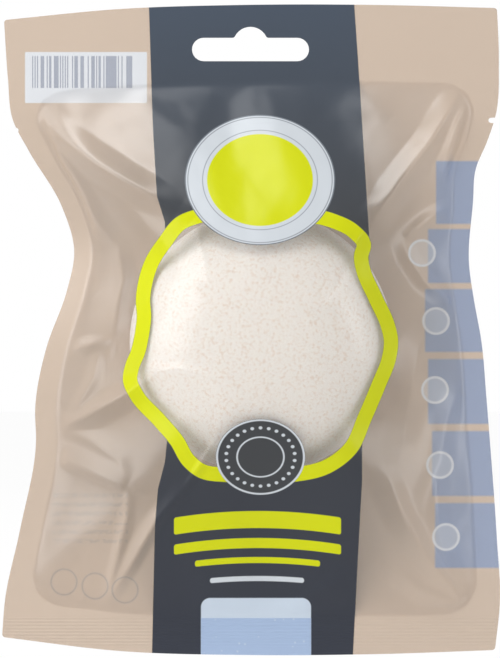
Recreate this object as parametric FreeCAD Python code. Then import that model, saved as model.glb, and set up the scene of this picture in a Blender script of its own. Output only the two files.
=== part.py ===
import FreeCAD, Part
import math
import os

# Konjac facial sponge sealed in a hang-sell film pouch.
# Millimetres. X runs to the right, Z up, and the front of the pouch faces -Y.
# The origin is the centre of the hang slot, on the weld plane between the front and the back web.

# Flat webs
pouch_width = 136.0
pouch_height = 177.5
film = 0.15
top_bow = 2.6
bottom_bow = 2.6

# Heat seals that close the pouch on four sides
header_seal = 22.0
side_seal = 7.5
bottom_seal = 11.5
seal_squareness_share = 6.0

# Sides drawn in by the sponge: depth, height of the deepest point and spread of each dip
left_waist_depth = 18.5
left_waist_height = -54.0
left_waist_spread = 23.0
left_hip_depth = 9.0
left_hip_height = -104.0
left_hip_spread = 30.0
right_waist_depth = 8.0
right_waist_height = -58.0
right_waist_spread = 36.0

# Hang slot: a bar with a rounded peg seat above its middle
slot_drop = 12.2
slot_length = 32.0
slot_height = 6.4
seat_radius = 4.8
seat_rise = 3.0
seat_fillet = 0.8

# Tear line between two notches
tear_drop = 32.5
tear_gap = 0.3
notch_depth = 2.4
notch_height = 2.6

# Sponge: a dome on a rounded flat back
sponge_radius = 35.0
dome_height = 24.0
back_height = 10.0
back_rounding = 8.0
sponge_x = 3.0
sponge_z = -80.0

# Films drawn over the sponge
film_clearance = 0.4
crown_share = 0.08
puff_share = 0.45
rise_steps = 5
wrap_steps = 6

# Modelling
overrun = 5.0
outline_points = 40
edge_points = 15
same_place = 0.001

left_dips = (
    (left_waist_depth, left_waist_height, left_waist_spread),
    (left_hip_depth, left_hip_height, left_hip_spread),
)
right_dips = ((right_waist_depth, right_waist_height, right_waist_spread),)

top = slot_drop
bottom = top - pouch_height
tear_height = top - tear_drop
FRONT = FreeCAD.Vector(0, -1, 0)
BACK = FreeCAD.Vector(0, 1, 0)


def drawn_in(z, dips):
    return sum(depth * math.exp(-(((z - height) / spread) ** 2)) for depth, height, spread in dips)


def left_edge(z):
    return drawn_in(z, left_dips) - pouch_width / 2


def right_edge(z):
    return pouch_width / 2 - drawn_in(z, right_dips)


def spline(points, closed=False):
    curve = Part.BSplineCurve()
    curve.interpolate(Points=points, PeriodicFlag=closed)
    return curve.toShape()


def web_outline():
    high = top - top_bow
    low = bottom + bottom_bow
    levels = [high + (low - high) * i / (edge_points - 1) for i in range(edge_points)]
    left = [FreeCAD.Vector(left_edge(z), 0, z) for z in levels]
    right = [FreeCAD.Vector(right_edge(z), 0, z) for z in levels]
    top_edge = Part.Arc(left[0], FreeCAD.Vector(0, 0, top), right[0]).toShape()
    bottom_edge = Part.Arc(left[-1], FreeCAD.Vector(0, 0, bottom), right[-1]).toShape()
    return Part.Wire([top_edge, spline(right), bottom_edge, spline(left)])


def seal_point(turn):
    # The inside edge of the seals is a rounded rectangle that follows the drawn-in sides.
    across, up = math.cos(turn), math.sin(turn)
    corner = abs(across) ** seal_squareness_share + abs(up) ** seal_squareness_share
    reach = corner ** (-1 / seal_squareness_share)
    high = top - header_seal
    low = bottom + bottom_seal
    z = (high + low) / 2 + (high - low) / 2 * up * reach
    side = right_edge(z) if across > 0 else -left_edge(z)
    return FreeCAD.Vector((side - side_seal) * across * reach, 0, z)


def film_line(rim, flat, rounding, height, last_share, way):
    # One line of a film, straight from the seal to where it meets the sponge and then over its rounding.
    centre = FreeCAD.Vector(sponge_x, 0, sponge_z)
    reach = (rim - centre).Length
    outward = (rim - centre) / reach

    def over_sponge(share):
        rise = height * math.sqrt(1 - share * share) + film_clearance
        return centre + outward * (flat + rounding * share) + way * rise

    contact_share = rounding / (reach - flat)
    contact = over_sponge(contact_share)
    line = []
    for step in range(rise_steps):
        share = step / rise_steps
        swell = puff_share * share * (1 - share) ** 2
        line.append(rim + (contact - rim) * share + way * height * swell)
    for step in range(wrap_steps + 1):
        line.append(over_sponge(contact_share + (last_share - contact_share) * step / wrap_steps))
    return line


def bulge(flat, rounding, height, last_share, way):
    # The space inside a film, lofted through the rings that its lines share.
    rim = [seal_point(2 * math.pi * i / outline_points) for i in range(outline_points)]
    lines = [film_line(point, flat, rounding, height, last_share, way) for point in rim]
    rings = [Part.Wire(spline(list(ring), closed=True)) for ring in zip(*lines)]
    return Part.makeLoft(rings, True, True)


def web(inside, way):
    sheet = Part.Face(web_outline()).extrude(way * film)
    outside = inside.copy()
    outside.translate(way * film)
    return sheet.fuse(outside).cut(inside)


def through(outline):
    # A cutter that passes through both webs.
    reach = dome_height + back_height + overrun
    outline.translate(FRONT * reach)
    return outline.extrude(BACK * 2 * reach)


def hang_slot():
    half = slot_height / 2
    run = slot_length / 2 - half
    seat_centre = half + seat_rise - seat_radius
    bar = Part.Face(Part.Wire([
        Part.LineSegment(FreeCAD.Vector(-run, 0, half), FreeCAD.Vector(run, 0, half)).toShape(),
        Part.Arc(FreeCAD.Vector(run, 0, half), FreeCAD.Vector(run + half, 0, 0),
                 FreeCAD.Vector(run, 0, -half)).toShape(),
        Part.LineSegment(FreeCAD.Vector(run, 0, -half), FreeCAD.Vector(-run, 0, -half)).toShape(),
        Part.Arc(FreeCAD.Vector(-run, 0, -half), FreeCAD.Vector(-run - half, 0, 0),
                 FreeCAD.Vector(-run, 0, half)).toShape(),
    ]))
    seat = Part.Face(Part.Wire(Part.Circle(FreeCAD.Vector(0, 0, seat_centre), BACK, seat_radius).toShape()))
    cutter = through(bar).fuse(through(seat)).removeSplitter()
    feet = [edge for edge in cutter.Edges if is_seat_foot(edge, half)]
    return cutter.makeFillet(seat_fillet, feet)


def is_seat_foot(edge, level):
    # The two inner corners where the peg seat meets the bar are edges that run along the depth.
    ends = [vertex.Point for vertex in edge.Vertexes]
    on_bar_top = all(abs(end.z - level) < same_place for end in ends)
    within_seat = all(abs(end.x) < seat_radius for end in ends)
    return on_bar_top and within_seat and abs(ends[0].x - ends[-1].x) < same_place


def tear_notch(edge, inward):
    tip = FreeCAD.Vector(edge + inward * notch_depth, 0, tear_height)
    mouth = edge - inward * notch_depth
    upper = FreeCAD.Vector(mouth, 0, tear_height + notch_height)
    lower = FreeCAD.Vector(mouth, 0, tear_height - notch_height)
    return through(Part.Face(Part.makePolygon([tip, upper, lower, tip])))


def tear_line():
    half = pouch_width / 2 + overrun
    high = tear_height + tear_gap / 2
    low = tear_height - tear_gap / 2
    corners = [(-half, low), (half, low), (half, high), (-half, high), (-half, low)]
    return through(Part.Face(Part.makePolygon([FreeCAD.Vector(x, 0, z) for x, z in corners])))


def split_web(inside, way):
    cut = web(inside, way).cut(hang_slot())
    cut = cut.cut(tear_notch(left_edge(tear_height), 1)).cut(tear_notch(right_edge(tear_height), -1))
    pieces = sorted(cut.cut(tear_line()).Solids, key=lambda solid: solid.CenterOfMass.z)
    return pieces[-1], pieces[0]


def sponge():
    flat = sponge_radius - back_rounding
    centre = FreeCAD.Vector(sponge_x, 0, sponge_z)
    crown = centre + FRONT * dome_height
    belly = centre + FreeCAD.Vector(sponge_radius, 0, 0)
    inner = centre + FreeCAD.Vector(flat, 0, 0)
    heel = inner + BACK * back_height
    base = centre + BACK * back_height
    dome = quarter(centre, belly, crown)
    edge = quarter(inner, heel, belly)
    profile = Part.Wire([dome, edge, Part.makeLine(heel, base), Part.makeLine(base, crown)])
    return Part.Face(profile).revolve(centre, BACK, 360)


def quarter(centre, first, last):
    # A quarter of an ellipse about centre, from first to last, drawn as a scaled quarter circle.
    across, up = first - centre, last - centre
    half = math.sqrt(2) / 2
    curve = Part.BSplineCurve()
    curve.buildFromPolesMultsKnots(
        [first, centre + across + up, last], [3, 3], [0, 1], False, 2, [1, half, 1])
    return curve.toShape()


def main():
    os.makedirs("parts", exist_ok=True)
    front_inside = bulge(0, sponge_radius, dome_height, crown_share, FRONT)
    back_inside = bulge(sponge_radius - back_rounding, back_rounding, back_height, 0, BACK)
    front_header, front_film = split_web(front_inside, FRONT)
    back_header, back_film = split_web(back_inside, BACK)
    nodes = {
        "konjac_sponge": sponge(),
        "front_film": front_film,
        "back_film": back_film,
        "front_header": front_header,
        "back_header": back_header,
    }
    for name, shape in nodes.items():
        shape.exportStep(f"parts/{name}.step")
        print(name, shape.isValid(), len(shape.Solids), round(shape.Volume, 2))


main()
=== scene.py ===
import math
import bmesh
import bpy
import numpy as np
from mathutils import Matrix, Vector, noise


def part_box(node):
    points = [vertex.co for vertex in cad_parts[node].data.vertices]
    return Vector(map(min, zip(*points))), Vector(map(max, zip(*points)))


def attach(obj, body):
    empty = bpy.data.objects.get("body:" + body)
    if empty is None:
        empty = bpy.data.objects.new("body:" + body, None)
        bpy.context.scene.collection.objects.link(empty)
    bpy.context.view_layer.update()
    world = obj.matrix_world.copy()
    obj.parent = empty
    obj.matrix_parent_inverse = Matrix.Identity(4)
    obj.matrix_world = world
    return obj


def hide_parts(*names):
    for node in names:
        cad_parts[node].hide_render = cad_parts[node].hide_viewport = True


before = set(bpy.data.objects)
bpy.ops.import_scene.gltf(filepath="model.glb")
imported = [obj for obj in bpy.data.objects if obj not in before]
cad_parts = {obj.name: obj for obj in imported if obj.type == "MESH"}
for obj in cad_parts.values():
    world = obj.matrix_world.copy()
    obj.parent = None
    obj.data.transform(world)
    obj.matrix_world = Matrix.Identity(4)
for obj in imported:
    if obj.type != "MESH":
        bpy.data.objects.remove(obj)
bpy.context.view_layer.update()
scene = bpy.context.scene
mm = 0.001
print("frame loaded:", ", ".join(sorted(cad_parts)))


# Photo and camera

photo = {
    "pixel": 0.2735 * mm,         # one pixel on the weld plane, from the 32 mm hang slot
    "slotPixel": (250.5, 49.5),   # centre of the hang slot, the origin
    "middlePixel": (250, 329),    # centre of the 500 x 658 frame
    "heightPixels": 658,
    "viewDistance": 600 * mm,     # camera to weld plane
    "sensor": 36,
}


def fromPhoto(points):
    points = np.asarray(points, float)
    across = (points[:, 0] - photo["slotPixel"][0]) * photo["pixel"]
    up = (photo["slotPixel"][1] - points[:, 1]) * photo["pixel"]
    return np.stack([across, up], 1)


eye = fromPhoto([photo["middlePixel"]])[0]


def seenFlat(places):
    # where points in front of or behind the weld plane show on it, seen from the camera
    scale = photo["viewDistance"] / (photo["viewDistance"] + places[:, 1])
    return eye + (places[:, [0, 2]] - eye) * scale[:, None]


def addCamera():
    lens = bpy.data.cameras.new("camera")
    lens.sensor_width = photo["sensor"]
    lens.lens = photo["sensor"] * photo["viewDistance"] / (photo["heightPixels"] * photo["pixel"])
    camera = bpy.data.objects.new("camera", lens)
    camera.location = (eye[0], -photo["viewDistance"], eye[1])
    camera.rotation_euler = (math.pi / 2, 0, 0)
    scene.collection.objects.link(camera)
    scene.camera = camera


addCamera()
scene.view_settings.view_transform = "Standard"
print("camera set")


# Curves through listed points

def alongCurve(points, shares, closed=False):
    points = np.asarray(points, float)
    if closed:
        points = np.concatenate([points[-2:], points, points[:3]])
    steps = np.linalg.norm(np.diff(points, axis=0), axis=1)
    at = np.concatenate([[0], np.cumsum(steps)])
    first, last = (at[2], at[-3]) if closed else (at[0], at[-1])
    wanted = first + np.asarray(shares) * (last - first)
    slopes = np.gradient(points, at, axis=0)
    i = np.clip(np.searchsorted(at, wanted) - 1, 0, len(at) - 2)
    run = (at[i + 1] - at[i])[:, None]
    t = (wanted - at[i])[:, None] / run
    start = (1 + 2 * t) * (1 - t) ** 2 * points[i] + t * (1 - t) ** 2 * run * slopes[i]
    end = t * t * (3 - 2 * t) * points[i + 1] + t * t * (t - 1) * run * slopes[i + 1]
    return start + end


def nearLine(places, line):
    # how far each place is from a line, the share of the line's length there, and the side it is on
    lengths = np.linalg.norm(np.diff(line, axis=0), axis=1)
    begin = np.concatenate([[0], np.cumsum(lengths)]) / lengths.sum()
    away = np.full(len(places), np.inf)
    share = np.zeros(len(places))
    onLeft = np.zeros(len(places), bool)
    for k in range(len(line) - 1):
        run = line[k + 1] - line[k]
        offset = places - line[k]
        along = np.clip((offset @ run) / (run @ run), 0, 1)
        gap = np.linalg.norm(offset - along[:, None] * run, axis=1)
        closer = gap < away
        away = np.where(closer, gap, away)
        share = np.where(closer, begin[k] + along * (begin[k + 1] - begin[k]), share)
        onLeft = np.where(closer, run[0] * offset[:, 1] > run[1] * offset[:, 0], onLeft)
    return away, share, onLeft


def isInside(places, outline):
    # even-odd count of the outline's edges that lie to the right of each place
    count = np.zeros(len(places), int)
    for a, b in zip(outline, np.roll(outline, -1, axis=0)):
        crosses = (a[1] > places[:, 1]) != (b[1] > places[:, 1])
        if crosses.any():
            meet = a[0] + (places[:, 1] - a[1]) / (b[1] - a[1]) * (b[0] - a[0])
            count += crosses & (places[:, 0] < meet)
    return count % 2 == 1


# Sponge: a dome on a flat back, as in the frame

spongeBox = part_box("konjac_sponge")
sponge = {
    "centre": Vector(((spongeBox[0].x + spongeBox[1].x) / 2, 0, (spongeBox[0].z + spongeBox[1].z) / 2)),
    "radius": (spongeBox[1].x - spongeBox[0].x) / 2 + 1.3 * mm,    # the soft rim stands proud
    "dome": -spongeBox[0].y,
    "back": spongeBox[1].y,
    "fullness": 1.05,           # 0.707 makes the dome half an ellipsoid, and more makes it fuller
    "backRounding": 8 * mm,
    "backFullness": 0.707,
    "backEdge": 0.7,            # share of the ball's width that becomes the flat of the back
    "detail": 7,
    "lumpSize": 16 * mm,
    "lumpRise": 0.35 * mm,
    "poreSize": 1.3 * mm,
    "poreDepth": 0.25 * mm,
    "colour": "f1ece5",
    "poreColour": "e6d6c7",
    "grain": 0.8 * mm,
    "grainStrength": 0.3,
    "grainRise": 0.4 * mm,
    "roughness": 0.7,
    "glow": 0.15,               # share of light that enters and comes out again
    "glowReach": 2 * mm,
}


def spongeProfile(share, isFront):
    # from the belly at 0 to the crown at 1: distance from the axis and height
    flat = 0 if isFront else sponge["radius"] - sponge["backRounding"]
    middle = 2 * sponge["fullness" if isFront else "backFullness"] * share * (1 - share)
    total = (1 - share) ** 2 + middle + share ** 2
    across = flat + (sponge["radius"] - flat) * ((1 - share) ** 2 + middle) / total
    up = sponge["dome" if isFront else "back"] * (share ** 2 + middle) / total
    return across, up


def spongePoint(n):
    # from a unit sphere to the sponge: a full dome in front, a flat with a round edge behind
    isFront = n.y <= 0
    around = max(math.hypot(n.x, n.z), 1e-6)
    if isFront:
        across, up = spongeProfile(-n.y / (around - n.y), True)
    elif around > sponge["backEdge"]:
        across, up = spongeProfile((1 - around) / (1 - sponge["backEdge"]), False)
    else:
        across, up = spongeProfile(1, False)
        across = across * around / sponge["backEdge"]
    depth = -up if isFront else up
    return Vector((n.x * across / around, depth, n.z * across / around)) + sponge["centre"]


def spongeMesh(detail):
    bm = bmesh.new()
    bmesh.ops.create_icosphere(bm, subdivisions=detail, radius=1)
    for v in bm.verts:
        v.co = spongePoint(v.co.normalized())
    bmesh.ops.recalc_face_normals(bm, faces=bm.faces)
    mesh = bpy.data.meshes.new("konjacSponge")
    bm.to_mesh(mesh)
    bm.free()
    return mesh


# Pouch film

pouch = {
    "width": 136 * mm,
    "height": 177.5 * mm,
    "headerSeal": 22 * mm,
    "bottomSeal": 11.5 * mm,
    "sideSeal": 7.5 * mm,
    "sealCorner": 7 * mm,
    "thickness": 0.1 * mm,
    "weldGap": 0.02 * mm,
    "columns": 104,
    "rows": 136,
    # edges of the filled pouch, in photo pixels
    "leftEdge": [(4, 20), (8, 80), (12, 118), (28, 150), (60, 205), (72, 250), (65, 290), (45, 350),
                 (35, 410), (36, 440), (20, 530), (5, 600), (2, 637)],
    "rightEdge": [(497, 8), (499, 60), (496, 115), (488, 140), (476, 170), (474, 200), (470, 262),
                  (475, 300), (482, 340), (487, 400), (490, 440), (497, 540), (500, 600), (495, 650)],
    "topEdge": [(4, 20), (120, 9), (240, 5), (380, 5), (497, 8)],
    "bottomEdge": [(2, 637), (120, 651), (250, 655), (380, 654), (495, 650)],
    "frontSpare": 0.006,      # how much larger each film is than it needs to be, as a share
    "backSpare": 0.002,
    "puff": 0.12,             # air under the film between the seals and the sponge
    # the drawn-in side seals curl to the back
    "leftCurl": 8 * mm,
    "leftCurlAt": -56 * mm,
    "leftCurlSpan": 24 * mm,
    "rightCurl": 3 * mm,
    "rightCurlAt": -58 * mm,
    "rightCurlSpan": 36 * mm,
}

# folds set in the film: points in photo pixels, rise in millimetres, and reach in millimetres to the
# left and right along the line
folds = [
    # upper right ridge and its pleat over the sponge
    {"points": [(459, 95), (428, 145), (398, 184), (366, 230)], "rise": 2.4, "reach": (5.5, 5)},
    {"points": [(366, 230), (351, 248), (335, 273), (323, 304)], "rise": 1.0, "reach": (1.5, 1.8)},
    {"points": [(466, 104), (457, 125), (444, 165), (440, 190)], "rise": 1.5, "reach": (3, 4)},
    # upper left ridges
    {"points": [(45, 127), (95, 163), (158, 200), (180, 213)], "rise": 2.4, "reach": (6, 5)},
    {"points": [(38, 131), (62, 165), (80, 195), (100, 226), (118, 246)], "rise": 1.3, "reach": (4, 4)},
    {"points": [(118, 246), (124, 280), (119, 303), (115, 337)], "rise": 1.8, "reach": (4, 8)},
    {"points": [(75, 349), (95, 343), (113, 339)], "rise": 1.2, "reach": (3, 3)},
    {"points": [(98, 351), (94, 377), (70, 420)], "rise": 0.7, "reach": (2.5, 2.5)},
    # lower left ridges
    {"points": [(62, 427), (88, 414), (129, 392), (152, 376)], "rise": 1.6, "reach": (4, 5)},
    {"points": [(60, 458), (81, 467), (127, 488)], "rise": 1.8, "reach": (7, 2.5)},
    {"points": [(64, 428), (90, 440), (119, 460), (128, 488)], "rise": 0.8, "reach": (4, 4)},
    {"points": [(128, 488), (127, 517), (118, 554), (108, 600)], "rise": 0.9, "reach": (2.5, 2.5)},
    {"points": [(108, 601), (129, 568), (156, 522), (191, 480)], "rise": 1.4, "reach": (3.5, 2.5)},
    {"points": [(156, 522), (191, 480), (213, 447), (226, 403), (221, 383), (203, 374), (180, 368),
                (158, 371), (142, 387)], "rise": 1.1, "reach": (1.8, 1.5)},
    # fan from the lower right corner of the seal
    {"points": [(468, 606), (430, 560), (405, 520), (388, 478)], "rise": 2.0, "reach": (6, 4)},
    {"points": [(468, 606), (447, 560), (438, 530), (434, 470)], "rise": 1.0, "reach": (3, 4)},
    {"points": [(468, 606), (420, 590), (380, 560)], "rise": 1.2, "reach": (4, 4)},
    {"points": [(345, 575), (318, 590), (290, 604)], "rise": 0.8, "reach": (8, 3)},
    # star pucker on the right
    {"points": [(403, 239), (425, 222), (446, 207)], "rise": 1.6, "reach": (3, 4)},
    {"points": [(403, 239), (410, 258), (425, 280), (454, 307)], "rise": 1.8, "reach": (3, 4)},
    # long soft ridges down the right side
    {"points": [(440, 318), (418, 352), (410, 400), (402, 450)], "rise": 0.9, "reach": (5, 6)},
    {"points": [(462, 380), (446, 420), (440, 462), (421, 505)], "rise": 0.6, "reach": (4, 4)},
    # soft ridges over the sponge
    {"points": [(196, 222), (203, 255), (210, 288)], "rise": 0.6, "reach": (4, 4)},
    {"points": [(243, 240), (262, 300), (268, 330)], "rise": 0.5, "reach": (5, 5)},
    {"points": [(152, 286), (180, 284), (207, 290)], "rise": 0.6, "reach": (7, 2.5)},
]

# cloth solver settings, for a film ten times its size, which suits the solver
draping = {
    "scale": 10,
    "closeFrames": 25,
    "frames": 45,
    "quality": 6,
    "mass": 0.3,
    "airDamping": 1,
    "stretch": 40,
    "shear": 30,
    "bend": 250,
    "damping": 10,
    "pressure": 0.3,
    "clearance": 0.3 * mm,
    "friction": 0.02,
    "spongeDetail": 5,
    "bendDamping": 1,
    "pinStiffness": 50,
    "collisionQuality": 2,
    "profileSteps": 200,
    "rimWidth": 1 * mm,     # places this near the seal's inside edge count as on it
    "foldSet": 0.4,         # share of each fold's rise that the film starts with
    "foldPower": 1.25,      # 1 makes a fold's sides straight, and more makes them hollow
    "foldFade": 1.5 * mm,   # folds die out over this width beside the seals
    "backFade": 5 * mm,     # and on the back web over this width beside the sponge
    "smoothing": 16,
}


def sheetMesh(name):
    bm = bmesh.new()
    bmesh.ops.create_grid(bm, x_segments=pouch["columns"], y_segments=pouch["rows"], size=0.5)
    mesh = bpy.data.meshes.new(name)
    bm.to_mesh(mesh)
    bm.free()
    return mesh


def readPlaces(mesh):
    places = np.zeros(len(mesh.vertices) * 3)
    mesh.vertices.foreach_get("co", places)
    return places.reshape(-1, 3)


def drawnSheet(s, t):
    # the sheet's place on the weld plane, between the four edges of the filled pouch
    left, right, top, bottom = (fromPhoto(pouch[edge])
                                for edge in ("leftEdge", "rightEdge", "topEdge", "bottomEdge"))
    across, down = s[:, None], t[:, None]
    between = (1 - down) * alongCurve(top, s) + down * alongCurve(bottom, s)
    between = between + (1 - across) * alongCurve(left, t) + across * alongCurve(right, t)
    corners = (1 - across) * (1 - down) * top[0] + across * (1 - down) * top[-1]
    corners = corners + (1 - across) * down * bottom[0] + across * down * bottom[-1]
    return between - corners


def insideSeal(s, t):
    # distance in from the seals' inside edge, which has round corners
    side = np.minimum(s, 1 - s) * pouch["width"] - pouch["sideSeal"]
    end = np.minimum(t * pouch["height"] - pouch["headerSeal"],
                     (1 - t) * pouch["height"] - pouch["bottomSeal"])
    corner = pouch["sealCorner"]
    rounded = corner - np.hypot(np.maximum(corner - side, 0), np.maximum(corner - end, 0))
    return np.where((side < corner) & (end < corner), rounded, np.minimum(side, end))


def foldRise(seen, fold):
    # a sharp ridge that falls away on both sides and fades at its ends
    away, share, onLeft = nearLine(seen, fromPhoto(fold["points"]))
    reach = np.where(onLeft, fold["reach"][0], fold["reach"][1]) * mm
    slope = np.clip(1 - away / reach, 0, 1)
    fade = np.sin(np.pi * np.clip(share, 0.02, 0.98)) ** 0.5
    return fold["rise"] * mm * slope ** draping["foldPower"] * fade


def tautFilm(drawn, inside, curl, way):
    # straight lines from the seals to where they meet the sponge, and then over it
    centre = np.array((sponge["centre"].x, sponge["centre"].z))
    offset = drawn - centre
    away = np.linalg.norm(offset, axis=1)
    turn = np.arctan2(offset[:, 1], offset[:, 0])
    rim = np.abs(inside) < draping["rimWidth"]
    order = np.argsort(turn[rim])
    reach = np.interp(turn, turn[rim][order], away[rim][order], period=2 * np.pi)
    base = -np.interp(turn, turn[rim][order], curl[rim][order], period=2 * np.pi)
    across, up = spongeProfile(np.linspace(0, 1, draping["profileSteps"]), way < 0)
    up = up + draping["clearance"]
    touch = np.argmax((up - base[:, None]) / (reach[:, None] - across), axis=1)
    share = np.clip((reach - away) / (reach - across[touch]), 0, 1)
    slope = base + (up[touch] - base) * share
    over = np.interp(away, across[::-1], up[::-1])
    rise = np.where(away < across[touch], over, slope)
    puff = pouch["puff"] * up.max() * share * (1 - share)
    return np.where(inside > 0, rise + puff, -curl)


def sealCurl(drawn, s):
    up = drawn[:, 1]
    left = pouch["leftCurl"] * np.exp(-((up - pouch["leftCurlAt"]) / pouch["leftCurlSpan"]) ** 2)
    right = pouch["rightCurl"] * np.exp(-((up - pouch["rightCurlAt"]) / pouch["rightCurlSpan"]) ** 2)
    return left * (1 - s) ** 3 + right * s ** 3


def heldSponge(way):
    # the film is always shaped towards -Y, so the sponge is turned about for the back film
    mesh = spongeMesh(draping["spongeDetail"])
    places = readPlaces(mesh) * draping["scale"]
    if way > 0:
        places[:, 1] *= -1
        mesh.flip_normals()
    mesh.vertices.foreach_set("co", places.ravel())
    ball = bpy.data.objects.new("heldSponge", mesh)
    scene.collection.objects.link(ball)
    ball.modifiers.new("hold", "COLLISION")
    ball.collision.thickness_outer = draping["clearance"] * draping["scale"] / 2
    ball.collision.cloth_friction = draping["friction"]
    return ball


def drapeFilm(way):
    # a film a little too large, with its folds, is drawn in at the seals over the sponge
    obj = bpy.data.objects.new("drape", sheetMesh("drape"))
    scene.collection.objects.link(obj)
    grid = readPlaces(obj.data)
    s, t = grid[:, 0] + 0.5, 0.5 - grid[:, 1]
    drawn = drawnSheet(s, t)
    inside = insideSeal(s, t)
    curl = -way * sealCurl(drawn, s)
    taut = np.stack([drawn[:, 0], -tautFilm(drawn, inside, curl, way), drawn[:, 1]], 1)
    if way < 0:
        for fold in folds:
            taut[:, 1] -= np.where(inside > 0, draping["foldSet"] * foldRise(drawn, fold), 0)
    loose = taut.copy()
    centre = np.array((sponge["centre"].x, sponge["centre"].z))
    loose[:, [0, 2]] = centre + (drawn - centre) * (1 + pouch["frontSpare" if way < 0 else "backSpare"])
    closed = np.stack([drawn[:, 0], curl, drawn[:, 1]], 1)
    obj.data.vertices.foreach_set("co", (loose * draping["scale"]).ravel())
    seal = obj.vertex_groups.new(name="seal")
    seal.add([int(i) for i in np.nonzero(inside <= 0)[0]], 1, "REPLACE")
    obj.shape_key_add(name="loose")
    key = obj.shape_key_add(name="closed")
    key.data.foreach_set("co", (closed * draping["scale"]).ravel())
    key.value = 0
    key.keyframe_insert("value", frame=1)
    key.value = 1
    key.keyframe_insert("value", frame=draping["closeFrames"])
    ball = heldSponge(way)
    cloth = obj.modifiers.new("film", "CLOTH")
    film = cloth.settings
    film.quality = draping["quality"]
    film.mass = draping["mass"]
    film.air_damping = draping["airDamping"]
    film.tension_stiffness = film.compression_stiffness = draping["stretch"]
    film.shear_stiffness = draping["shear"]
    film.bending_stiffness = draping["bend"]
    film.tension_damping = film.compression_damping = film.shear_damping = draping["damping"]
    film.bending_damping = draping["bendDamping"]
    film.vertex_group_mass = "seal"
    film.pin_stiffness = draping["pinStiffness"]
    film.effector_weights.gravity = 0
    film.use_pressure = True
    film.uniform_pressure_force = draping["pressure"]
    cloth.collision_settings.distance_min = draping["clearance"] * draping["scale"] / 2
    cloth.collision_settings.collision_quality = draping["collisionQuality"]
    cloth.point_cache.frame_start = 1
    cloth.point_cache.frame_end = draping["frames"]
    for step in range(1, draping["frames"] + 1):
        scene.frame_set(step)
    shaped = obj.evaluated_get(bpy.context.evaluated_depsgraph_get())
    places = readPlaces(shaped.to_mesh()) / draping["scale"]
    shaped.to_mesh_clear()
    bpy.data.objects.remove(obj)
    bpy.data.objects.remove(ball)
    scene.frame_set(1)
    places[:, 1] = np.minimum(places[:, 1], curl)
    places = smoothed(places, inside)
    if way > 0:
        places[:, 1] *= -1
    return places


def smoothed(places, inside):
    # the solver's small waves are taken out, and the seals stay
    across, down = pouch["columns"] + 1, pouch["rows"] + 1
    depth = places[:, 1].reshape(down, across)
    free = (inside > 0).reshape(down, across)[1:-1, 1:-1]
    for _ in range(draping["smoothing"]):
        around = depth[:-2, 1:-1] + depth[2:, 1:-1] + depth[1:-1, :-2] + depth[1:-1, 2:]
        depth[1:-1, 1:-1] = np.where(free, (depth[1:-1, 1:-1] + around / 4) / 2, depth[1:-1, 1:-1])
    places[:, 1] = depth.ravel()
    return places


frontPlaces = drapeFilm(-1)
print("front film draped", frontPlaces.min(0).round(4), frontPlaces.max(0).round(4))
backPlaces = drapeFilm(1)
print("back film draped", backPlaces.min(0).round(4), backPlaces.max(0).round(4))


# Film pieces: each web is split along the tear line and punched for the slot and the notches

cuts = {
    "tearLeft": (16, 130),       # tips of the two notches, in photo pixels
    "tearRight": (491, 120),
    "headerHeight": 32.5 * mm,   # flat web above the tear line
    "tearGap": 0.01 * mm,
    "notchDepth": 2.4 * mm,
    "notchHeight": 1.4 * mm,
    "slotLength": 32 * mm,
    "slotHeight": 6.4 * mm,
    "seatRadius": 4.8 * mm,
    "seatRise": 3.0 * mm,
    "seatFillet": 0.8 * mm,
    "reach": 30 * mm,
    "arcSteps": 12,
}


def filmMesh(name, places, way):
    mesh = sheetMesh(name)
    grid = readPlaces(mesh)
    inset = mesh.attributes.new("sealInset", "FLOAT", "POINT")
    inset.data.foreach_set("value", insideSeal(grid[:, 0] + 0.5, 0.5 - grid[:, 1]).astype(np.float32))
    mesh.vertices.foreach_set("co", places.ravel())
    obj = bpy.data.objects.new(name, mesh)
    scene.collection.objects.link(obj)
    finer = obj.modifiers.new("finer", "SUBSURF")
    finer.levels = finer.render_levels = 1
    shaped = obj.evaluated_get(bpy.context.evaluated_depsgraph_get())
    smooth = bpy.data.meshes.new_from_object(shaped)
    bpy.data.objects.remove(obj)
    pressFolds(smooth, way)
    bm = bmesh.new()
    bm.from_mesh(smooth)
    if way > 0:
        bmesh.ops.reverse_faces(bm, faces=bm.faces)
    bmesh.ops.translate(bm, verts=bm.verts, vec=(0, way * (pouch["weldGap"] + pouch["thickness"]) / 2, 0))
    bm.to_mesh(smooth)
    bm.free()
    return smooth


def pressFolds(mesh, way):
    # the folds' sharp edges, which the solver leaves too round; on the back web only beside the sponge
    places = readPlaces(mesh)
    seen = seenFlat(places)
    inset = np.zeros(len(places))
    mesh.attributes["sealInset"].data.foreach_get("value", inset)
    rise = np.zeros(len(places))
    for fold in folds:
        rise = np.maximum(rise, foldRise(seen, fold))
    share = np.clip(inset / draping["foldFade"], 0, 1)
    if way > 0:
        away = np.hypot(places[:, 0] - sponge["centre"].x, places[:, 2] - sponge["centre"].z)
        share = share * np.clip((away - sponge["radius"]) / draping["backFade"], 0, 1)
    places[:, 1] -= share * rise
    mesh.vertices.foreach_set("co", places.ravel())


def arc(centre, radius, first, last):
    steps = cuts["arcSteps"]
    turns = [first + (last - first) * i / steps for i in range(steps + 1)]
    return [(centre[0] + radius * math.cos(a), centre[1] + radius * math.sin(a)) for a in turns]


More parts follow.
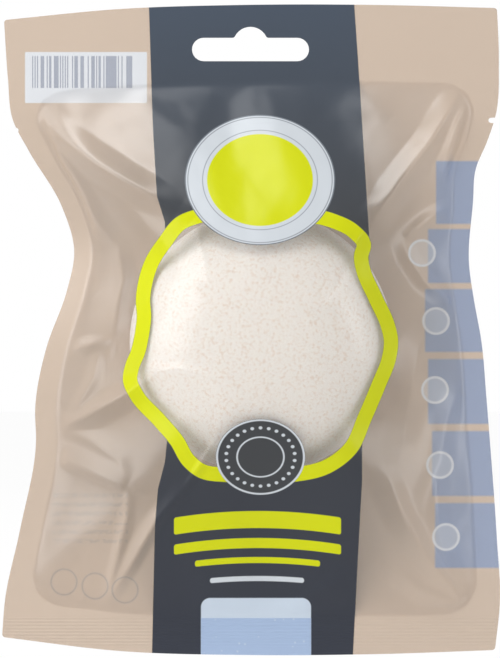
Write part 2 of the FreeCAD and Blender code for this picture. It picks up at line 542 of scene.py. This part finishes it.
def slotOutline():
    half = cuts["slotHeight"] / 2
    run = cuts["slotLength"] / 2 - half
    radius, fillet = cuts["seatRadius"], cuts["seatFillet"]
    seat = half + cuts["seatRise"] - radius
    foot = half + fillet - seat
    away = math.sqrt((radius + fillet) ** 2 - foot ** 2)
    lean = math.atan2(foot, away)
    quarter = math.pi / 2
    return (arc((run, 0), half, -quarter, quarter)
            + arc((away, half + fillet), fillet, -quarter, lean - 2 * quarter)
            + arc((0, seat), radius, lean, 2 * quarter - lean)
            + arc((-away, half + fillet), fillet, -lean, -quarter)
            + arc((-run, 0), half, quarter, 3 * quarter))


def notchOutline(pixel, inward):
    tip = fromPhoto([pixel])[0]
    tip = tip + np.array((inward * cuts["notchDepth"] / 4, 0))
    half = cuts["notchHeight"] / 2
    mouth = tip[0] - 3 * inward * cuts["notchDepth"]
    end = arc((tip[0] - inward * half, tip[1]), half, math.pi / 2, -math.pi / 2)
    end = [(tip[0] - inward * half + inward * (x - tip[0] + inward * half), z) for x, z in end]
    return [(mouth, tip[1] + half * 1.5)] + end + [(mouth, tip[1] - half * 1.5)]


def punchObject(name, outlines):
    bm = bmesh.new()
    for outline in outlines:
        corners = [bm.verts.new((x, -cuts["reach"], z)) for x, z in outline]
        face = bm.faces.new(corners)
        grown = bmesh.ops.extrude_face_region(bm, geom=[face])
        moved = [v for v in grown["geom"] if isinstance(v, bmesh.types.BMVert)]
        bmesh.ops.translate(bm, verts=moved, vec=(0, 2 * cuts["reach"], 0))
    bmesh.ops.remove_doubles(bm, verts=bm.verts, dist=0.001 * mm)
    bmesh.ops.recalc_face_normals(bm, faces=bm.faces)
    mesh = bpy.data.meshes.new(name)
    bm.to_mesh(mesh)
    bm.free()
    obj = bpy.data.objects.new(name, mesh)
    scene.collection.objects.link(obj)
    return obj


def splitFilm(mesh, name, above):
    tearLeft, tearRight = fromPhoto([cuts["tearLeft"], cuts["tearRight"]])
    along = tearRight - tearLeft
    up = Vector((-along[1], 0, along[0])).normalized()
    level = Vector((tearLeft[0], 0, tearLeft[1])) + up * cuts["tearGap"] / 2 * (1 if above else -1)
    bm = bmesh.new()
    bm.from_mesh(mesh)
    bmesh.ops.bisect_plane(bm, geom=list(bm.verts) + list(bm.edges) + list(bm.faces), plane_co=level,
                           plane_no=up, clear_inner=above, clear_outer=not above)
    bmesh.ops.solidify(bm, geom=list(bm.faces), thickness=pouch["thickness"])
    part = bpy.data.meshes.new(name)
    bm.to_mesh(part)
    bm.free()
    obj = bpy.data.objects.new(name, part)
    scene.collection.objects.link(obj)
    return obj


def punched(obj, punch):
    cut = obj.modifiers.new("punch", "BOOLEAN")
    cut.operation = "DIFFERENCE"
    cut.solver = "EXACT"
    cut.object = punch
    shaped = obj.evaluated_get(bpy.context.evaluated_depsgraph_get())
    mesh = bpy.data.meshes.new_from_object(shaped)
    obj.modifiers.clear()
    obj.data = mesh
    mesh.name = obj.name
    mesh.polygons.foreach_set("use_smooth", [True] * len(mesh.polygons))
    mesh.set_sharp_from_angle(angle=math.radians(60))
    return obj


notches = [notchOutline(cuts["tearLeft"], 1), notchOutline(cuts["tearRight"], -1)]
slotPunch = punchObject("slotPunch", [slotOutline()] + notches)
notchPunch = punchObject("notchPunch", notches)
films = {}
for side, places, way in (("front", frontPlaces, -1), ("back", backPlaces, 1)):
    web = filmMesh(side + "Web", places, way)
    films[side + "Header"] = punched(splitFilm(web, side + "Header", True), slotPunch)
    films[side + "Film"] = punched(splitFilm(web, side + "Film", False), notchPunch)
for punch in (slotPunch, notchPunch):
    bpy.data.objects.remove(punch)
for name, obj in films.items():
    print(name, len(obj.data.vertices), "vertices", len(obj.data.polygons), "faces")


# Printing: places and distances on the film, for the materials

printing = {
    "bandLeft": [(148, -40), (149, 8), (153, 129), (157, 196), (165, 222), (168, 330), (167, 442),
                 (165, 462), (158, 489), (155, 526), (152, 656), (151, 700)],
    "bandRight": [(352, -40), (354, 2), (358, 60), (366, 186), (369, 234), (369, 330), (362, 449),
                  (362, 480), (359, 535), (353, 653), (352, 700)],
    "bandTop": 12.0,         # millimetres up, where the band's fade starts and ends; the lighter top of the fade is a painted reflection
    "bandBottom": -165.0,
    "bandMiddle": 0.35,      # share of the fade where the middle colour is
    "ring": [(199, 216), (181, 223), (165, 242), (152, 262), (145, 284), (143, 301), (144, 315), (142, 334),
             (138, 352), (132, 367), (130, 380), (136, 394), (160, 421), (177, 441), (189, 461), (200, 470),
             (230, 475), (290, 475), (328, 466), (350, 449), (365, 417), (379, 384), (389, 358), (391, 340),
             (388, 326), (375, 297), (363, 269), (361, 256), (364, 245), (353, 231), (333, 221), (300, 214),
             (230, 210)],
    "ringSteps": 240,
    "ringWidth": 4.0,        # millimetres
}


def printPlaces(mesh):
    # millimetres across and up on the weld plane, as the print shows from the front
    return seenFlat(readPlaces(mesh)) / mm


def addPrintMap(mesh):
    seen = printPlaces(mesh)
    corners = np.zeros(len(mesh.loops), int)
    mesh.loops.foreach_get("vertex_index", corners)
    layer = mesh.uv_layers.new(name="printMap")
    layer.data.foreach_set("uv", seen[corners].astype(np.float32).ravel())


def addDistance(mesh, name, values):
    attribute = mesh.attributes.new(name, "FLOAT", "POINT")
    attribute.data.foreach_set("value", values.astype(np.float32))


def edgeAcross(points, up):
    line = fromPhoto(points) / mm
    return np.interp(-up, -line[:, 1], line[:, 0])


def addFrontPrint(mesh):
    seen = printPlaces(mesh)
    left = edgeAcross(printing["bandLeft"], seen[:, 1])
    right = edgeAcross(printing["bandRight"], seen[:, 1])
    addDistance(mesh, "bandGap", np.maximum(left - seen[:, 0], seen[:, 0] - right))
    shares = np.linspace(0, 1, printing["ringSteps"], endpoint=False)
    ring = alongCurve(fromPhoto(printing["ring"]) / mm, shares, closed=True)
    away = nearLine(seen, np.concatenate([ring, ring[:1]]))[0]
    addDistance(mesh, "ringGap", np.where(isInside(seen, ring), -away, away))


for name, obj in films.items():
    addPrintMap(obj.data)
    if name.startswith("front"):
        addFrontPrint(obj.data)
print("print map laid on the films")


# Materials

def colour(hexValue):
    channels = [int(hexValue[i:i + 2], 16) / 255 for i in (0, 2, 4)]
    return tuple(c / 12.92 if c <= 0.04045 else ((c + 0.055) / 1.055) ** 2.4 for c in channels) + (1,)


def addNode(tree, kind, *values, sockets=None, **settings):
    # values go to the inputs in order and sockets by name; a node among them gives its first output
    node = tree.nodes.new("ShaderNode" + kind)
    for name, setting in settings.items():
        setattr(node, name, setting)
    wanted = dict(enumerate(values))
    wanted.update(sockets or {})
    for socket, value in wanted.items():
        if isinstance(value, bpy.types.Node):
            value = value.outputs[0]
        if isinstance(value, bpy.types.NodeSocket):
            tree.links.new(value, node.inputs[socket])
        elif value is not None:
            node.inputs[socket].default_value = value
    return node


def newMaterial(name):
    material = bpy.data.materials.new(name)
    material.use_nodes = True
    material.node_tree.nodes.clear()
    return material, material.node_tree


def covered(tree, gap, blur=0.12):
    # 1 inside a printed shape and 0 outside it, with a blur in millimetres at its edge
    return addNode(tree, "MapRange", gap, -blur, blur, 1.0, 0.0)


def lineGap(tree, gap, offset, half):
    # distance to a line that runs along a printed shape's edge, offset outwards
    shifted = addNode(tree, "Math", gap, offset, operation="SUBTRACT")
    size = addNode(tree, "Math", shifted, operation="ABSOLUTE")
    return addNode(tree, "Math", size, half, operation="SUBTRACT")


def ovalGap(tree, place, pixel, radius, squeeze=1.0):
    # distance to an oval, in millimetres across; squeeze is its width over its height
    centre = fromPhoto([pixel])[0] / mm
    offset = addNode(tree, "VectorMath", place, (centre[0], centre[1], 0), operation="SUBTRACT")
    offset = addNode(tree, "VectorMath", offset, (1, squeeze, 0), operation="MULTIPLY")
    length = addNode(tree, "VectorMath", offset, operation="LENGTH")
    return addNode(tree, "Math", length.outputs["Value"], radius, operation="SUBTRACT")


def boxGap(tree, place, lowPixel, highPixel, corner):
    # distance to a box with round corners, in millimetres
    low, high = fromPhoto([lowPixel, highPixel]) / mm
    centre, half = (low + high) / 2, abs(high - low) / 2 - corner
    offset = addNode(tree, "VectorMath", place, (centre[0], centre[1], 0), operation="SUBTRACT")
    offset = addNode(tree, "VectorMath", offset, operation="ABSOLUTE")
    offset = addNode(tree, "VectorMath", offset, (half[0], half[1], 9), operation="SUBTRACT")
    offset = addNode(tree, "VectorMath", offset, (0, 0, 0), operation="MAXIMUM")
    length = addNode(tree, "VectorMath", offset, operation="LENGTH")
    return addNode(tree, "Math", length.outputs["Value"], corner, operation="SUBTRACT")


def inkOver(tree, below, mask, hexValue, share=1.0):
    # one ink printed over another through a mask
    if share < 1:
        mask = addNode(tree, "Math", mask, share, operation="MULTIPLY")
    mixed = addNode(tree, "Mix", data_type="RGBA", sockets={0: mask, 6: below, 7: colour(hexValue)})
    return mixed.outputs[2]


inks = {
    # the dark band fades from a lighter, bluer top to a darker bottom: dark ink, with a painted reflection
    # lightening the top
    "bandTop": "47515f",
    "bandMiddle": "414346",
    "bandBottom": "343843",
    "lime": "d4da00",
    "white": "d0d6dc",
    "outline": "868c96",
    "tabUpper": "cad6e4",
    "tabLower": "a8bcdb",
}

# sizes in millimetres on the film as the camera sees it, places in photo pixels
# a line is its offset from the shape's edge and half its width
medallion = {
    "centre": (260, 180),
    "radius": 20.5,
    "squeeze": 1.154,
    "limeRadius": 14.5,
    "edgeLine": (-0.1, 0.12),
    "rimLine": (-0.75, 0.12),
    "threadLine": (15.7 - 20.5, 0.1),
}
badge = {
    "centre": (260.5, 457),
    "radius": 12.2,
    "squeeze": 1.18,
    "edgeLine": (-0.3, 0.28),
    "innerLine": (6.4 - 12.2, 0.22),
    "dots": 26,
    "dotRing": 9.4,
    "dotRadius": 0.5,
}
tab = {
    "low": (201, 690),
    "high": (311, 598),
    "corner": 2.5,
    "stripLevel": -155.5,
    "dropPitch": 2.6,
    "dropRadius": 0.1,     # share of the pitch
    "dropBlur": 0.05,
    "dropShare": 0.6,
}
stripes = [
    {"low": (174, 528), "high": (341, 511), "ink": "lime"},
    {"low": (174, 548), "high": (341, 538), "ink": "lime"},
    {"low": (195, 563), "high": (320, 557), "ink": "lime"},
    {"low": (210, 581), "high": (304, 576), "ink": "white"},
]
stripeForm = {
    "corner": 0.6,
    "middle": 258,       # photo pixel across
    "arch": 0.0035,      # the ends drop by this much times the squared distance
}


def printedInks(tree, place, ringGap):
    up = addNode(tree, "SeparateXYZ", place).outputs[1]
    # the band's ink ramp: dark ink, with a painted reflection that makes the top lighter and bluer
    fade = addNode(tree, "MapRange", up, printing["bandTop"], printing["bandBottom"])
    ramp = addNode(tree, "ValToRGB", fade)
    ramp.color_ramp.elements[0].color = colour(inks["bandTop"])
    ramp.color_ramp.elements[1].color = colour(inks["bandBottom"])
    ramp.color_ramp.elements.new(printing["bandMiddle"]).color = colour(inks["bandMiddle"])
    ring = covered(tree, lineGap(tree, ringGap, 0.0, printing["ringWidth"] / 2))
    ink = inkOver(tree, ramp, ring, inks["lime"])
    disc = ovalGap(tree, place, medallion["centre"], medallion["radius"], medallion["squeeze"])
    discMask = covered(tree, disc)
    ink = inkOver(tree, ink, discMask, inks["white"])
    for line, lineInk in (("edgeLine", "bandTop"), ("rimLine", "outline"), ("threadLine", "outline")):
        ink = inkOver(tree, ink, covered(tree, lineGap(tree, disc, *medallion[line])), inks[lineInk])
    limeDisc = addNode(tree, "Math", disc, medallion["radius"] - medallion["limeRadius"], operation="ADD")
    ink = inkOver(tree, ink, covered(tree, limeDisc), inks["lime"])
    badgeGap = ovalGap(tree, place, badge["centre"], badge["radius"], badge["squeeze"])
    badgeMask = covered(tree, badgeGap)
    ink = inkOver(tree, ink, badgeMask, inks["bandMiddle"])
    for line in ("edgeLine", "innerLine"):
        ink = inkOver(tree, ink, covered(tree, lineGap(tree, badgeGap, *badge[line])), inks["white"])
    ink = inkOver(tree, ink, badgeDots(tree, place), inks["white"])
    arched = archedPlace(tree, place)
    for stripe in stripes:
        stripeGap = boxGap(tree, arched, stripe["low"], stripe["high"], stripeForm["corner"])
        ink = inkOver(tree, ink, covered(tree, stripeGap), inks[stripe["ink"]])
    tabGap = boxGap(tree, place, tab["low"], tab["high"], tab["corner"])
    ink = inkOver(tree, ink, covered(tree, tabGap), inks["tabUpper"])
    below = addNode(tree, "Math", up, tab["stripLevel"], operation="SUBTRACT")
    lowerTab = addNode(tree, "Math", tabGap, below, operation="MAXIMUM")
    lowerMask = covered(tree, lowerTab)
    ink = inkOver(tree, ink, lowerMask, inks["tabLower"])
    drops = addNode(tree, "TexVoronoi", sockets={"Vector": place, "Scale": 1 / tab["dropPitch"],
                                                 "Randomness": 1.0})
    dropGap = addNode(tree, "Math", drops, tab["dropRadius"], operation="SUBTRACT")
    dropMask = covered(tree, dropGap, tab["dropBlur"])
    dropMask = addNode(tree, "Math", dropMask, lowerMask, operation="MULTIPLY")
    ink = inkOver(tree, ink, dropMask, inks["tabUpper"], tab["dropShare"])
    return ink, ring, discMask, badgeMask


def archedPlace(tree, place):
    axes = addNode(tree, "SeparateXYZ", place)
    middle = float(fromPhoto([(stripeForm["middle"], 0)])[0][0] / mm)
    offset = addNode(tree, "Math", axes.outputs[0], middle, operation="SUBTRACT")
    square = addNode(tree, "Math", offset, offset, operation="MULTIPLY")
    lifted = addNode(tree, "Math", square, stripeForm["arch"], axes.outputs[1], operation="MULTIPLY_ADD")
    return addNode(tree, "CombineXYZ", axes.outputs[0], lifted, 0.0)


def badgeDots(tree, place):
    # a ring of even dots between the badge's two lines
    centre = fromPhoto([badge["centre"]])[0] / mm
    offset = addNode(tree, "VectorMath", place, (centre[0], centre[1], 0), operation="SUBTRACT")
    offset = addNode(tree, "VectorMath", offset, (1, badge["squeeze"], 0), operation="MULTIPLY")
    axes = addNode(tree, "SeparateXYZ", offset)
    turn = addNode(tree, "Math", axes.outputs[1], axes.outputs[0], operation="ARCTAN2")
    turn = addNode(tree, "Math", turn, badge["dots"] / (2 * math.pi), operation="MULTIPLY")
    turn = addNode(tree, "Math", turn, operation="FRACT")
    across = addNode(tree, "Math", turn, 0.5, operation="SUBTRACT")
    dotPitch = 2 * math.pi * badge["dotRing"] / badge["dots"]
    across = addNode(tree, "Math", across, dotPitch, operation="MULTIPLY")
    length = addNode(tree, "VectorMath", offset, operation="LENGTH")
    outward = addNode(tree, "Math", length.outputs["Value"], badge["dotRing"], operation="SUBTRACT")
    pair = addNode(tree, "CombineXYZ", across, outward, 0.0)
    away = addNode(tree, "VectorMath", pair, operation="LENGTH").outputs["Value"]
    return covered(tree, addNode(tree, "Math", away, badge["dotRadius"], operation="SUBTRACT"))


# PET laminate: clear and glossy with a slight milkiness, a high index and no pores
filmFinish = {
    "ior": 1.72,
    "gloss": 0.27,          # roughness of the clear film
    "milk": 0.14,           # share of light that the film scatters
    "milkColour": "e9e0d8",
    "inkRoughness": 0.26,
    "inkGloss": 0.25,
    "ripple": 9.0,          # millimetres between the film's faint ripples
    "rippleStrength": 0.08,
    "rippleRise": 0.4 * mm,
    "crimpPitch": 0.9,      # millimetres between the ribs of the bottom seal
    "crimpTop": -155.2,
    "crimpBottom": -163.0,
    "crimpFade": 0.5,
    "crimpStrength": 0.35,
    "crimpRise": 0.1 * mm,
}


def filmBump(tree, place):
    # faint ripples all over, and the crimp ribs of the bottom seal
    up = addNode(tree, "SeparateXYZ", place).outputs[1]
    ripple = addNode(tree, "TexNoise", sockets={
        "Vector": place, "Scale": 1 / filmFinish["ripple"], "Detail": 2.0})
    soft = addNode(tree, "Bump", sockets={
        "Height": ripple, "Strength": filmFinish["rippleStrength"], "Distance": filmFinish["rippleRise"]})
    phase = addNode(tree, "Math", up, 2 * math.pi / filmFinish["crimpPitch"], operation="MULTIPLY")
    rib = addNode(tree, "Math", phase, operation="SINE")
    top, bottom, fade = filmFinish["crimpTop"], filmFinish["crimpBottom"], filmFinish["crimpFade"]
    lower = addNode(tree, "MapRange", up, top + fade, top - fade)
    upper = addNode(tree, "MapRange", up, bottom - fade, bottom + fade)
    zone = addNode(tree, "Math", lower, upper, operation="MULTIPLY")
    height = addNode(tree, "Math", rib, zone, operation="MULTIPLY")
    return addNode(tree, "Bump", sockets={
        "Height": height, "Strength": filmFinish["crimpStrength"], "Distance": filmFinish["crimpRise"],
        "Normal": soft})


def frontFilmMaterial():
    # clear PET laminate, reverse printed: glossy over the inks and see-through between them
    material, tree = newMaterial("printed_clear_film")
    place = addNode(tree, "UVMap", uv_map="printMap")
    bandGap = addNode(tree, "Attribute", attribute_name="bandGap").outputs["Fac"]
    ringGap = addNode(tree, "Attribute", attribute_name="ringGap").outputs["Fac"]
    ink, ring, discMask, badgeMask = printedInks(tree, place, ringGap)
    window = covered(tree, ringGap)
    outside = addNode(tree, "Math", 1.0, window, operation="SUBTRACT")
    inked = addNode(tree, "Math", covered(tree, bandGap), outside, operation="MULTIPLY")
    for mask in (ring, discMask, badgeMask):
        inked = addNode(tree, "Math", inked, mask, operation="MAXIMUM")
    bump = filmBump(tree, place)
    printed = addNode(tree, "BsdfPrincipled", sockets={
        "Base Color": ink, "Roughness": filmFinish["inkRoughness"], "Normal": bump,
        "Specular IOR Level": filmFinish["inkGloss"]})
    seeThrough = addNode(tree, "BsdfTransparent", (1, 1, 1, 1))
    gloss = addNode(tree, "BsdfGlossy", (1, 1, 1, 1), filmFinish["gloss"], sockets={"Normal": bump})
    facing = addNode(tree, "Fresnel", filmFinish["ior"], bump)
    clear = addNode(tree, "MixShader", facing, seeThrough, gloss)
    milk = addNode(tree, "BsdfDiffuse", colour(filmFinish["milkColour"]), sockets={"Normal": bump})
    hazy = addNode(tree, "MixShader", filmFinish["milk"], clear, milk)
    # only the face that light meets first reflects, so the thin film doesn't count twice
    second = addNode(tree, "NewGeometry").outputs["Backfacing"]
    hazy = addNode(tree, "MixShader", second, hazy, seeThrough)
    final = addNode(tree, "MixShader", inked, hazy, printed)
    addNode(tree, "OutputMaterial", final)
    return material


# colours, shares, places in photo pixels and sizes in millimetres
backPrint = {
    "film": "c2aa93",
    "filmShade": "b49b83",
    "shadeSize": 30.0,
    "shadeShare": 0.12,
    "roughness": 0.42,
    "coat": 0.4,
    "coatRoughness": 0.2,
    "panel": "7489ae",
    "panelCorner": 0.4,
    "panelBlur": 0.3,
    "panels": [((436, 224), (500, 161)), ((428, 283), (500, 229)), ((425, 352), (500, 289)),
               ((428, 424), (500, 359)), ((432, 496), (500, 431)), ((435, 568), (500, 503))],
    "bubbles": [(422, 253), (436, 321), (435, 390), (440, 465), (446, 537)],
    "bubbleRadius": 3.8,
    "bubble": "dde2e8",
    "bubbleShare": 0.35,
    "bubbleLine": (-0.35, 0.3),
    "bubbleLineBlur": 0.25,
    "bubbleLineShare": 0.9,
    "corner": 0.3,           # of the label and the notes
    "label": ((25, 103), (147, 52)),
    "labelPaper": "d8dde4",
    "bars": ((31, 88), (133, 56)),
    "barInk": "8a94a8",
    "barPitch": 0.33,
    "barCorner": 0.2,
    "rings": [(64, 582), (95, 586), (125, 590)],
    "ringRadius": 3.5,
    "ringLine": (0.0, 0.25),
    "ringInk": "9a8d84",
    "ringShare": 0.7,
    "notes": ((52, 545), (128, 492)),
    "noteInk": "a8978a",
    "noteShare": 0.6,
    "notePitch": 2.5,
    "noteHeight": 0.45,      # share of the pitch
    "strokeSize": 0.9,
    "strokeCut": 0.46,
}


def backFilmMaterial():
    # beige printed laminate, opaque; its inks show through the clear front film
    material, tree = newMaterial("beige_printed_film")
    place = addNode(tree, "UVMap", uv_map="printMap")
    axes = addNode(tree, "SeparateXYZ", place)
    mottle = addNode(tree, "TexNoise", sockets={
        "Vector": place, "Scale": 1 / backPrint["shadeSize"], "Detail": 1.0})
    shade = addNode(tree, "MapRange", mottle, 0.3, 0.7, 0.0, backPrint["shadeShare"])
    ink = inkOver(tree, colour(backPrint["film"]), shade, backPrint["filmShade"])
    for low, high in backPrint["panels"]:
        gap = boxGap(tree, place, low, high, backPrint["panelCorner"])
        ink = inkOver(tree, ink, covered(tree, gap, backPrint["panelBlur"]), backPrint["panel"])
    for pixel in backPrint["bubbles"]:
        gap = ovalGap(tree, place, pixel, backPrint["bubbleRadius"])
        ink = inkOver(tree, ink, covered(tree, gap), backPrint["bubble"], backPrint["bubbleShare"])
        line = covered(tree, lineGap(tree, gap, *backPrint["bubbleLine"]), backPrint["bubbleLineBlur"])
        ink = inkOver(tree, ink, line, backPrint["bubble"], backPrint["bubbleLineShare"])
    label = boxGap(tree, place, *backPrint["label"], backPrint["corner"])
    ink = inkOver(tree, ink, covered(tree, label), backPrint["labelPaper"])
    cell = addNode(tree, "Math", axes.outputs[0], 1 / backPrint["barPitch"], operation="MULTIPLY")
    cell = addNode(tree, "Math", cell, operation="FLOOR")
    chance = addNode(tree, "TexWhiteNoise", noise_dimensions="1D", sockets={"W": cell})
    bar = addNode(tree, "Math", chance, 0.5, operation="GREATER_THAN")
    barZone = covered(tree, boxGap(tree, place, *backPrint["bars"], backPrint["barCorner"]))
    bar = addNode(tree, "Math", bar, barZone, operation="MULTIPLY")
    ink = inkOver(tree, ink, bar, backPrint["barInk"])
    for pixel in backPrint["rings"]:
        gap = lineGap(tree, ovalGap(tree, place, pixel, backPrint["ringRadius"]), *backPrint["ringLine"])
        ink = inkOver(tree, ink, covered(tree, gap), backPrint["ringInk"], backPrint["ringShare"])
    row = addNode(tree, "Math", axes.outputs[1], 1 / backPrint["notePitch"], operation="MULTIPLY")
    row = addNode(tree, "Math", row, operation="FRACT")
    line = addNode(tree, "Math", row, backPrint["noteHeight"], operation="LESS_THAN")
    strokes = addNode(tree, "TexNoise", sockets={
        "Vector": place, "Scale": 1 / backPrint["strokeSize"], "Detail": 0.0})
    stroke = addNode(tree, "Math", strokes, backPrint["strokeCut"], operation="GREATER_THAN")
    note = addNode(tree, "Math", line, stroke, operation="MULTIPLY")
    noteZone = covered(tree, boxGap(tree, place, *backPrint["notes"], backPrint["corner"]))
    note = addNode(tree, "Math", note, noteZone, operation="MULTIPLY")
    ink = inkOver(tree, ink, note, backPrint["noteInk"], backPrint["noteShare"])
    shader = addNode(tree, "BsdfPrincipled", sockets={
        "Base Color": ink, "Roughness": backPrint["roughness"], "Normal": filmBump(tree, place),
        "Coat Weight": backPrint["coat"], "Coat Roughness": backPrint["coatRoughness"]})
    addNode(tree, "OutputMaterial", shader)
    return material


def spongeMaterial():
    # konjac root sponge, moist and fine pored: matt, cream, with tiny darker pores
    material, tree = newMaterial("moist_konjac_sponge")
    place = addNode(tree, "TexCoord").outputs["Object"]
    grain = addNode(tree, "TexNoise", sockets={
        "Vector": place, "Scale": 1 / sponge["grain"], "Detail": 3.0})
    ramp = addNode(tree, "ValToRGB", grain)
    ramp.color_ramp.elements[0].position = 0.3
    ramp.color_ramp.elements[0].color = colour(sponge["poreColour"])
    ramp.color_ramp.elements[1].position = 0.5
    ramp.color_ramp.elements[1].color = colour(sponge["colour"])
    bump = addNode(tree, "Bump", sockets={
        "Height": grain, "Strength": sponge["grainStrength"], "Distance": sponge["grainRise"]})
    shader = addNode(tree, "BsdfPrincipled", sockets={
        "Base Color": ramp, "Roughness": sponge["roughness"], "Normal": bump,
        "Subsurface Weight": sponge["glow"], "Subsurface Radius": (1.0, 0.8, 0.6),
        "Subsurface Scale": sponge["glowReach"]})
    addNode(tree, "OutputMaterial", shader)
    return material


frontFilm, backFilm = frontFilmMaterial(), backFilmMaterial()
for name, obj in films.items():
    obj.data.materials.clear()
    obj.data.materials.append(frontFilm if name.startswith("front") else backFilm)
print("film materials made")


def makeSponge():
    mesh = spongeMesh(sponge["detail"])
    for v in mesh.vertices:
        outward = (v.co - sponge["centre"]).normalized()
        lump = noise.noise(v.co / sponge["lumpSize"]) * sponge["lumpRise"]
        pore = max(0.0, noise.noise(v.co / sponge["poreSize"]) - 0.25) * sponge["poreDepth"]
        v.co += outward * (lump - sponge["lumpRise"] - pore)
    mesh.polygons.foreach_set("use_smooth", [True] * len(mesh.polygons))
    mesh.materials.append(spongeMaterial())
    obj = bpy.data.objects.new("konjacSponge", mesh)
    scene.collection.objects.link(obj)
    return obj


spongeObject = makeSponge()
print("sponge made")


# Pieces on their bodies

nodeOf = {"frontFilm": "front_film", "backFilm": "back_film",
          "frontHeader": "front_header", "backHeader": "back_header"}
for name, obj in films.items():
    isHeader = name.endswith("Header")
    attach(obj, "tear_strip" if isHeader else "pouch")
    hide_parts(nodeOf[name])
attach(spongeObject, "pouch")
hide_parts("konjac_sponge")


# Floor, lamps and background

studio = {
    "floorLevel": -0.212,
    "floorSize": 6.0,
    "floorColour": "fafafa",
    "floorWhite": 0.96,         # share of plain white that the camera sees on the floor
    "worldLight": 0.41,
    "lookAt": (0, 0, -0.08),
}
lamps = [
    {"name": "leftBox", "place": (-0.7, -0.5, 0.16), "size": (0.5, 0.9), "watts": 3.3},
    {"name": "rightBox", "place": (0.85, -0.45, 0.05), "size": (0.2, 0.7), "watts": 1.1},
    {"name": "topBox", "place": (-0.32, -0.4, 0.75), "size": (0.7, 0.3), "watts": 3.6},
    {"name": "backBox", "place": (0.45, 0.8, 0.35), "size": (0.8, 0.8), "watts": 6.0},
    {"name": "backFill", "place": (-0.7, 0.6, 0.1), "size": (0.4, 0.8), "watts": 2.0},
]


def addLamp(lamp):
    light = bpy.data.lights.new(lamp["name"], "AREA")
    light.shape = "RECTANGLE"
    light.size, light.size_y = lamp["size"]
    light.energy = lamp["watts"]
    obj = bpy.data.objects.new(lamp["name"], light)
    obj.location = lamp["place"]
    obj.rotation_euler = (Vector(studio["lookAt"]) - obj.location).to_track_quat("-Z", "Y").to_euler()
    scene.collection.objects.link(obj)


def seenDirectly(tree):
    # 1 for rays that show the background to the camera, in a mirror or through glass
    ray = addNode(tree, "LightPath")
    camera, glossy, through = (ray.outputs["Is " + kind + " Ray"]
                               for kind in ("Camera", "Glossy", "Transmission"))
    straight = addNode(tree, "Math", camera, glossy, operation="MAXIMUM")
    return addNode(tree, "Math", straight, through, operation="MAXIMUM")


def addWorld():
    world = bpy.data.worlds.new("studio")
    scene.world = world
    world.use_nodes = True
    tree = world.node_tree
    tree.nodes.clear()
    strength = addNode(tree, "MapRange", seenDirectly(tree), 0.0, 1.0, studio["worldLight"], 1.0)
    sky = addNode(tree, "Background", (1, 1, 1, 1), strength)
    addNode(tree, "OutputWorld", sky)


def addFloor():
    bm = bmesh.new()
    bmesh.ops.create_grid(bm, x_segments=1, y_segments=1, size=studio["floorSize"] / 2)
    bmesh.ops.translate(bm, verts=bm.verts, vec=(0, 0, studio["floorLevel"]))
    mesh = bpy.data.meshes.new("floor")
    bm.to_mesh(mesh)
    bm.free()
    floor = bpy.data.objects.new("floor", mesh)
    scene.collection.objects.link(floor)
    material, tree = newMaterial("pale_floor")
    matt = addNode(tree, "BsdfDiffuse", colour(studio["floorColour"]))
    white = addNode(tree, "Emission", (1, 1, 1, 1), 1.0)
    shown = addNode(tree, "Math", seenDirectly(tree), studio["floorWhite"], operation="MULTIPLY")
    addNode(tree, "OutputMaterial", addNode(tree, "MixShader", shown, matt, white))
    mesh.materials.append(material)


for lamp in lamps:
    addLamp(lamp)
addWorld()
addFloor()
print("studio set")

bpy.context.view_layer.update()
